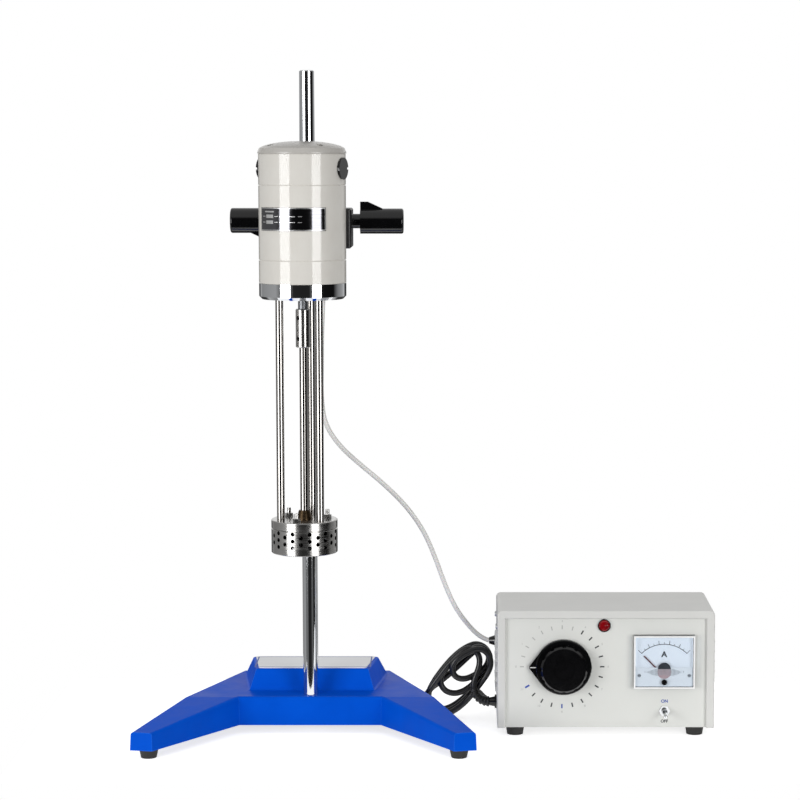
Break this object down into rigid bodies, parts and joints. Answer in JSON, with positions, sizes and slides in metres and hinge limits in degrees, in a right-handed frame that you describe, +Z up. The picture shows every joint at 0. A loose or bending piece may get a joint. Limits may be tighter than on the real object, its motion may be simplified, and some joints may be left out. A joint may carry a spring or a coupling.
{
  "type": "high shear homogenizer",
  "caption": "Laboratory high shear homogenizer: motor head with rotor and perforated stator on a column stand, wired to a separate speed controller.",
  "frame": {"origin": "on the floor below the middle of the whole object without its cords", "axes": "+Z up, +X to the operator's right, +Y away from the operator; the spindle is parallel to Z"},
  "size_m": [0.6042, 0.243, 0.697],
  "materials": {
    "blue_paint": "blue gloss paint on cast iron",
    "grey_paint": "pale grey gloss paint",
    "box_paint": "pale grey satin powder coat",
    "black_paint": "black satin paint",
    "chrome": "polished chrome",
    "steel": "turned steel",
    "stainless": "polished stainless steel",
    "bronze": "dark bronze",
    "white_plate": "white printed sheet with a blue border",
    "black_plate": "black sheet with a silver border",
    "black_plastic": "black moulded plastic",
    "rubber": "black rubber",
    "copper": "enamelled copper wire",
    "carbon": "carbon",
    "red_lens": "red translucent plastic",
    "dial_card": "pale printed dial",
    "clear": "clear moulded cover",
    "white_cord": "white PVC sheath",
    "black_cord": "black PVC sheath"
  },
  "bodies": {
    "stand": {"base_casting": "blue_paint", "label_plate": "white_plate", "stand_feet": "rubber", "foot_screws": "steel", "column": "chrome", "column_nut": "steel", "controller_cover": "box_paint", "front_panel": "box_paint", "controller_tray": "box_paint", "controller_feet": "rubber", "side_screws": "steel", "transformer_bracket": "steel", "transformer_core": "copper", "lamp_bezel": "chrome", "lamp_lens": "red_lens", "toggle_switch_body": "steel", "toggle_nut": "chrome", "ammeter_case": "black_plastic", "ammeter_dial": "dial_card", "ammeter_window": "clear", "ammeter_zero_screw": "black_plastic", "motor_cable_gland": "black_plastic", "mains_gland": "black_plastic", "motor_cable": "white_cord", "mains_cord": "black_cord", "mains_hank": "black_cord", "mains_tail": "black_cord", "mains_plug": "black_plastic"},
    "clamp": {"boss_head": "black_paint"},
    "column_knob": {"column_knob": "black_plastic"},
    "arm_knob": {"arm_knob": "black_plastic"},
    "motor_head": {"support_arm": "steel", "mounting_flange": "chrome", "lower_housing": "grey_paint", "middle_housing": "grey_paint", "upper_housing": "grey_paint", "top_cover": "grey_paint", "cover_screws": "steel", "nameplate": "black_plate", "brush_caps": "black_plastic", "carbon_brushes": "carbon", "bearings": "steel", "field_stator": "steel", "motor_gland": "black_plastic", "support_rods": "chrome", "head_top_plate": "stainless", "hub_bush": "bronze", "head_studs": "stainless", "head_nuts": "stainless", "perforated_ring": "stainless"},
    "spindle": {"armature": "steel", "coupling": "stainless", "coupling_screws": "steel", "stirring_shaft": "stainless", "shear_rotor": "stainless"},
    "speed_control": {"speed_knob": "black_plastic", "speed_shaft": "steel", "brush_arm": "bronze"},
    "needle": {"ammeter_needle": "black_plastic"},
    "toggle": {"toggle_lever": "chrome"}
  },
  "joints": [
    {"name": "clamp_slide", "type": "slide", "parent": "stand", "child": "clamp", "axis": [0, 0, 1], "range_m": [-0.165, 0.135], "deforming": ["motor_cable"]},
    {"name": "head_tilt", "type": "hinge", "parent": "clamp", "child": "motor_head", "pos_m": [-0.1261, -0.0305, 0.542], "axis": [0, 1, 0], "range_deg": [-15, 15]},
    {"name": "column_knob_turn", "type": "hinge", "parent": "clamp", "child": "column_knob", "pos_m": [-0.1526, 0.0035, 0.542], "axis": [-1, 0, 0], "range_deg": [0, 540]},
    {"name": "arm_knob_turn", "type": "hinge", "parent": "clamp", "child": "arm_knob", "pos_m": [-0.0791, -0.0195, 0.542], "axis": [1, 0, 0], "range_deg": [0, 540]},
    {"name": "spindle_turn", "type": "hinge", "parent": "motor_head", "child": "spindle", "pos_m": [-0.1261, -0.0765, 0.4355], "axis": [0, 0, 1], "continuous": true},
    {"name": "speed_turn", "type": "hinge", "parent": "stand", "child": "speed_control", "pos_m": [0.1414, -0.0235, 0.0748], "axis": [0, 1, 0], "range_deg": [0, 330]},
    {"name": "needle_turn", "type": "hinge", "parent": "stand", "child": "needle", "pos_m": [0.2469, -0.0285, 0.066], "axis": [0, 1, 0], "range_deg": [0, 90], "stiffness_Nm_per_rad": 0.0002},
    {"name": "toggle_flick", "type": "hinge", "parent": "stand", "child": "toggle", "pos_m": [0.2479, -0.0275, 0.0277], "axis": [-1, 0, 0], "range_deg": [0, 24]}
  ]
}
